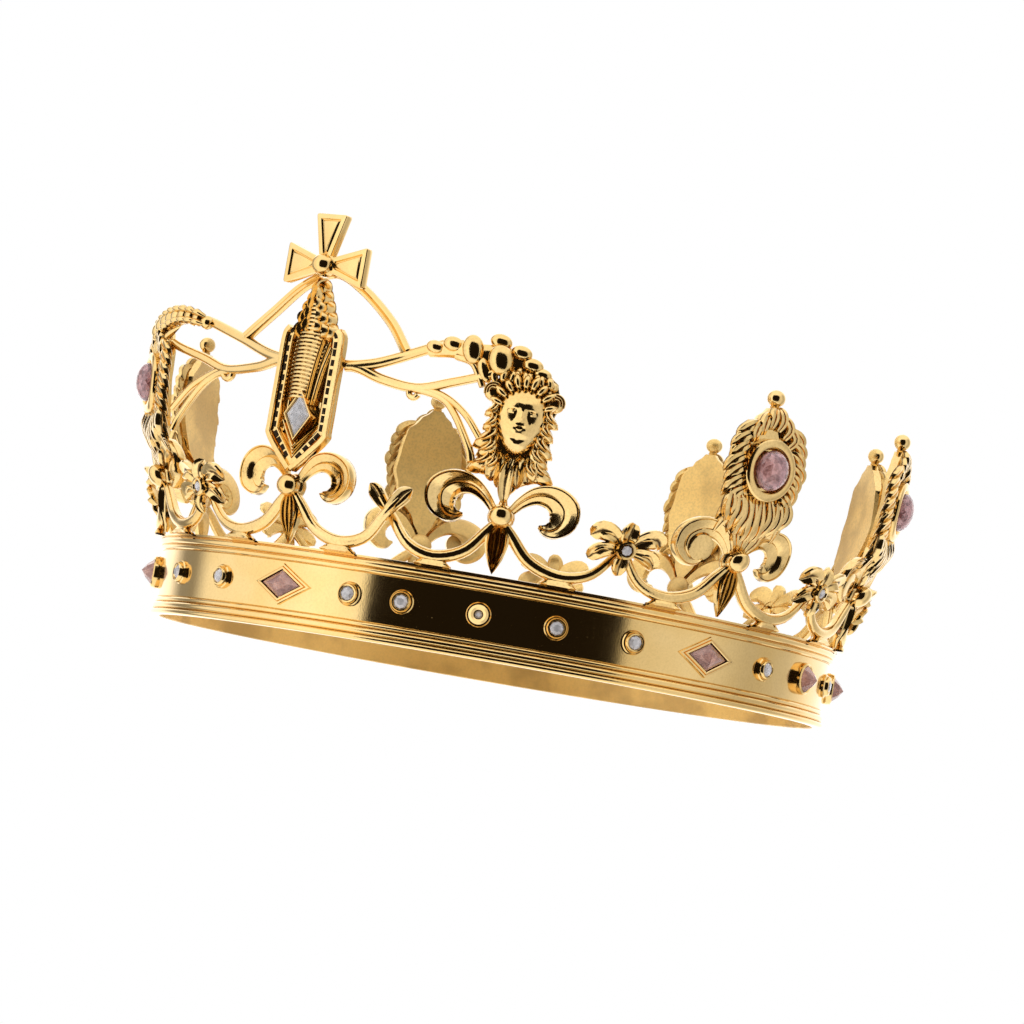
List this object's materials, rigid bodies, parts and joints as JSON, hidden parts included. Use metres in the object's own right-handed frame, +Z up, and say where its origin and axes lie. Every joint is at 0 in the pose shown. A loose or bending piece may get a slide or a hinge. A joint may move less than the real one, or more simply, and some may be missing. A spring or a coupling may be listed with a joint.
{
  "type": "openwork jewelled crown",
  "caption": "Round openwork gold crown: moulded band set with stones, cast scroll fleurons with flowers, a lion mask and a cross carried on an arch.",
  "frame": {"origin": "centre of the crown's flat underside, on the surface that it stands on", "axes": "+Z up; -Y is the front, where the lion mask is; +X is the viewer's right from the front"},
  "size_m": [0.2169, 0.2177, 0.1084],
  "materials": {
    "polished_gold": "polished yellow gold with faint scratches",
    "antiqued_gold": "cast gold, polished on the high parts and dark in the recesses",
    "violet_pink_stone": "faceted clear violet-pink stone",
    "pink_stone": "faceted clear pink stone",
    "clear_stone": "faceted clear colourless stone"
  },
  "bodies": {
    "root": {"arch": "polished_gold", "band": "polished_gold", "carrier_left": "polished_gold", "carrier_right": "polished_gold", "centre_stone": "clear_stone", "cross": "polished_gold", "fleuron_centre": "antiqued_gold", "fleuron_jewelled_1": "antiqued_gold", "fleuron_jewelled_2": "antiqued_gold", "fleuron_jewelled_3": "antiqued_gold", "fleuron_jewelled_4": "antiqued_gold", "fleuron_jewelled_5": "antiqued_gold", "fleuron_jewelled_6": "antiqued_gold", "fleuron_jewelled_7": "antiqued_gold", "fleuron_lion": "antiqued_gold", "flower_1": "antiqued_gold", "flower_2": "antiqued_gold", "flower_3": "antiqued_gold", "flower_4": "antiqued_gold", "flower_5": "antiqued_gold", "flower_6": "antiqued_gold", "flower_7": "antiqued_gold", "flower_8": "antiqued_gold", "lozenge_stone_1": "pink_stone", "lozenge_stone_2": "pink_stone", "lozenge_stone_3": "pink_stone", "lozenge_stone_4": "pink_stone", "lozenge_stone_5": "pink_stone", "oval_stone_1": "violet_pink_stone", "oval_stone_2": "violet_pink_stone", "oval_stone_3": "violet_pink_stone", "oval_stone_4": "violet_pink_stone", "oval_stone_5": "violet_pink_stone", "oval_stone_6": "violet_pink_stone", "oval_stone_7": "violet_pink_stone", "pointed_stone_1": "pink_stone", "pointed_stone_2": "pink_stone", "pointed_stone_3": "pink_stone", "round_stone_1": "clear_stone", "round_stone_10": "clear_stone", "round_stone_11": "clear_stone", "round_stone_12": "clear_stone", "round_stone_13": "clear_stone", "round_stone_14": "clear_stone", "round_stone_15": "clear_stone", "round_stone_16": "clear_stone", "round_stone_17": "clear_stone", "round_stone_18": "clear_stone", "round_stone_19": "clear_stone", "round_stone_2": "clear_stone", "round_stone_3": "clear_stone", "round_stone_4": "clear_stone", "round_stone_5": "clear_stone", "round_stone_6": "clear_stone", "round_stone_7": "clear_stone", "round_stone_8": "clear_stone", "round_stone_9": "clear_stone"}
  },
  "joints": []
}
